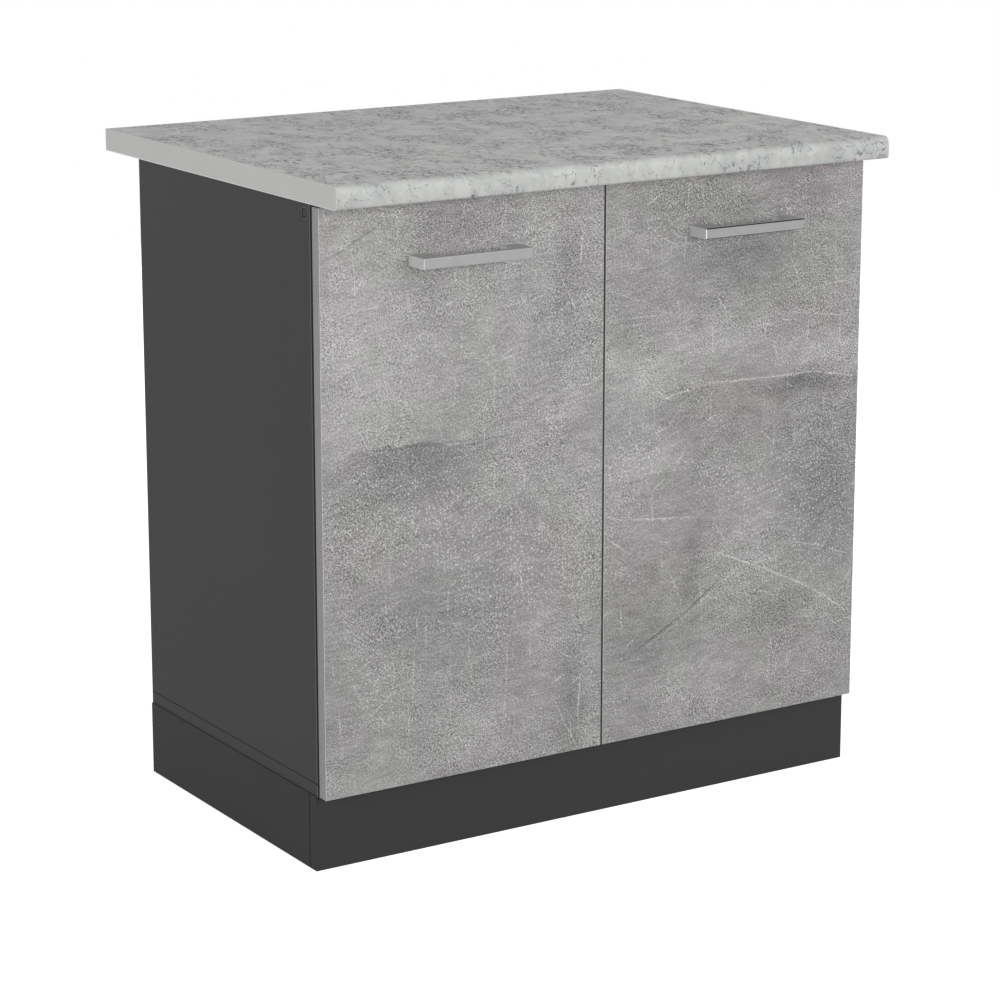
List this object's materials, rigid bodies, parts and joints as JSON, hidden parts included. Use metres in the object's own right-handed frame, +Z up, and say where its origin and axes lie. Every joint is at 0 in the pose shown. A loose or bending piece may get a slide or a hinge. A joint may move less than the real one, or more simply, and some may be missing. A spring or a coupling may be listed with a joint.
{
  "type": "two-door base cabinet with worktop",
  "caption": "Free-standing bathroom or utility base cabinet with hinged concrete-look doors, bar handles, a shelf, a plinth and a marble-look worktop.",
  "frame": {"origin": "on the floor, under the middle of the worktop, which is the middle of the bounding box's base", "axes": "+X to the right seen from the front, +Y to the back, +Z up"},
  "size_m": [0.803, 0.6, 0.843],
  "materials": {
    "carcass_board": "anthracite melamine-faced chipboard, satin",
    "back_board": "thin hardboard, one face lacquered anthracite",
    "door_board": "chipboard with a concrete-look printed facing, dull",
    "worktop_laminate": "chipboard with a marble-look laminate, satin",
    "end_strip": "light grey edge strip",
    "handle_metal": "satin silver",
    "bare_wood": "unfinished beech and softwood",
    "cap_plastic": "dark grey cover cap",
    "bumper_rubber": "translucent soft buffer",
    "hardware_steel": "nickel-plated pressed steel",
    "fastener_steel": "zinc-plated steel"
  },
  "bodies": {
    "carcass": {"back_panel": "back_board", "back_panel_nails": "fastener_steel", "bottom_panel": "carcass_board", "bottom_screws": "fastener_steel", "bracket_screws": "fastener_steel", "cam_bolts": "fastener_steel", "cam_locks": "hardware_steel", "carcass_dowels": "bare_wood", "front_rail": "carcass_board", "front_rail_screws": "fastener_steel", "plinth_block_screws": "fastener_steel", "plinth_corner_blocks": "bare_wood", "plinth_fixing_screws": "fastener_steel", "plinth_front": "carcass_board", "plinth_rear": "carcass_board", "plinth_side_left": "carcass_board", "plinth_side_right": "carcass_board", "rear_rail": "carcass_board", "screw_cap_left": "cap_plastic", "screw_cap_right": "cap_plastic", "shelf": "carcass_board", "shelf_supports": "fastener_steel", "side_panel_left": "carcass_board", "side_panel_right": "carcass_board", "worktop": "worktop_laminate", "worktop_brackets": "hardware_steel", "worktop_end_strip_left": "end_strip", "worktop_end_strip_right": "end_strip", "worktop_screws": "fastener_steel", "hinge_arm_screws_left": "fastener_steel", "hinge_arm_screws_right": "fastener_steel", "hinge_arms_left": "hardware_steel", "hinge_arms_right": "hardware_steel", "hinge_plate_screws_left": "fastener_steel", "hinge_plate_screws_right": "fastener_steel", "hinge_plates_left": "hardware_steel", "hinge_plates_right": "hardware_steel"},
    "door_left": {"door_bumpers_left": "bumper_rubber", "door_left": "door_board", "handle_left": "handle_metal", "handle_screws_left": "fastener_steel", "hinge_cup_screws_left": "fastener_steel", "hinge_cups_left": "hardware_steel", "hinge_pins_left": "fastener_steel"},
    "door_right": {"door_bumpers_right": "bumper_rubber", "door_right": "door_board", "handle_right": "handle_metal", "handle_screws_right": "fastener_steel", "hinge_cup_screws_right": "fastener_steel", "hinge_cups_right": "hardware_steel", "hinge_pins_right": "fastener_steel"}
  },
  "joints": [
    {"name": "door_left_hinge", "type": "hinge", "parent": "carcass", "child": "door_left", "pos_m": [-0.3918, -0.2475, 0.441], "axis": [0, 0, -1], "range_deg": [0, 95]},
    {"name": "door_right_hinge", "type": "hinge", "parent": "carcass", "child": "door_right", "pos_m": [0.3918, -0.2475, 0.441], "axis": [0, 0, 1], "range_deg": [0, 95]}
  ]
}
